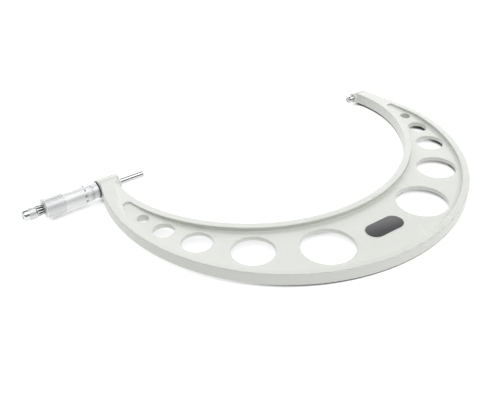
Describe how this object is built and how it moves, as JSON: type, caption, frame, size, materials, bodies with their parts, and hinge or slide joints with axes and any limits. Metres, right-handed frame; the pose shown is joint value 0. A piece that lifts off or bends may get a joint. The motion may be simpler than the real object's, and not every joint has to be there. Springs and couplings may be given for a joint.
{
  "type": "outside micrometer",
  "caption": "Large outside micrometer with a deep pierced C-shaped bow, a turning thimble and spindle, a ratchet stop and a spindle lock.",
  "frame": {"origin": "centre of the anvil's measuring face", "axes": "+X along the measuring axis, from the spindle towards the anvil; the bow hangs towards -Y; +Z is the graduated and badged face, up when the tool lies flat"},
  "size_m": [0.4341, 0.2587, 0.0223],
  "materials": {
    "frame_enamel": "smooth semi-gloss pale grey-green enamel on cast iron",
    "badge_plate": "dark anodised plate, satin",
    "ground_steel": "ground and polished hardened steel",
    "carbide": "lapped carbide",
    "satin_chrome": "satin chrome plate with dark engraved lines",
    "knob_chrome": "bright chrome plate, knurled grip",
    "lever_chrome": "satin chrome plate",
    "plain_steel": "fine turned steel",
    "blackened_steel": "black oxide",
    "spring_steel": "drawn wire",
    "pad_brass": "plain machined brass"
  },
  "bodies": {
    "frame": {"frame": "frame_enamel", "name_badge": "badge_plate", "anvil": "ground_steel", "anvil_tip": "carbide", "threaded_bush": "blackened_steel", "adjusting_nut": "blackened_steel", "lock_pad": "pad_brass"},
    "sleeve": {"graduated_sleeve": "satin_chrome"},
    "spindle_face": {"spindle_tip": "carbide"},
    "screw": {"spindle": "ground_steel", "thimble": "satin_chrome", "taper_connector": "plain_steel", "connector_washer": "plain_steel", "ratchet_stem": "knob_chrome", "ratchet_screw": "knob_chrome"},
    "ratchet_knob": {"ratchet_knob": "knob_chrome", "ratchet_key_pin": "plain_steel", "ratchet_spring": "spring_steel"},
    "ratchet_clutch": {"ratchet_clutch": "plain_steel"},
    "lock_lever": {"lock_lever": "lever_chrome", "lock_screw": "blackened_steel"}
  },
  "joints": [
    {"name": "sleeve_zero_turn", "type": "hinge", "parent": "frame", "child": "sleeve", "pos_m": [-0.33, 0, 0], "axis": [1, 0, 0], "range_deg": [-15, 15]},
    {"name": "spindle_travel", "type": "slide", "parent": "frame", "child": "spindle_face", "axis": [-1, 0, 0], "range_m": [0, 0.025]},
    {"name": "thimble_turn", "type": "hinge", "parent": "spindle_face", "child": "screw", "pos_m": [-0.33, 0, 0], "axis": [-1, 0, 0], "range_deg": [0, 18000]},
    {"name": "ratchet_slip", "type": "hinge", "parent": "screw", "child": "ratchet_knob", "pos_m": [-0.39, 0, 0], "axis": [1, 0, 0], "continuous": true},
    {"name": "clutch_lift", "type": "slide", "parent": "ratchet_knob", "child": "ratchet_clutch", "axis": [-1, 0, 0], "range_m": [0, 0.0006], "stiffness_N_per_m": 1500, "springref_m": -0.001, "deforming": ["ratchet_spring"]},
    {"name": "lock_turn", "type": "hinge", "parent": "frame", "child": "lock_lever", "pos_m": [-0.3118, 0, 0], "axis": [0, 0, 1], "range_deg": [0, 50]}
  ],
  "couplings": [
    {"joint": "thimble_turn", "follows": "spindle_travel", "rad_per_m": 12566}
  ]
}
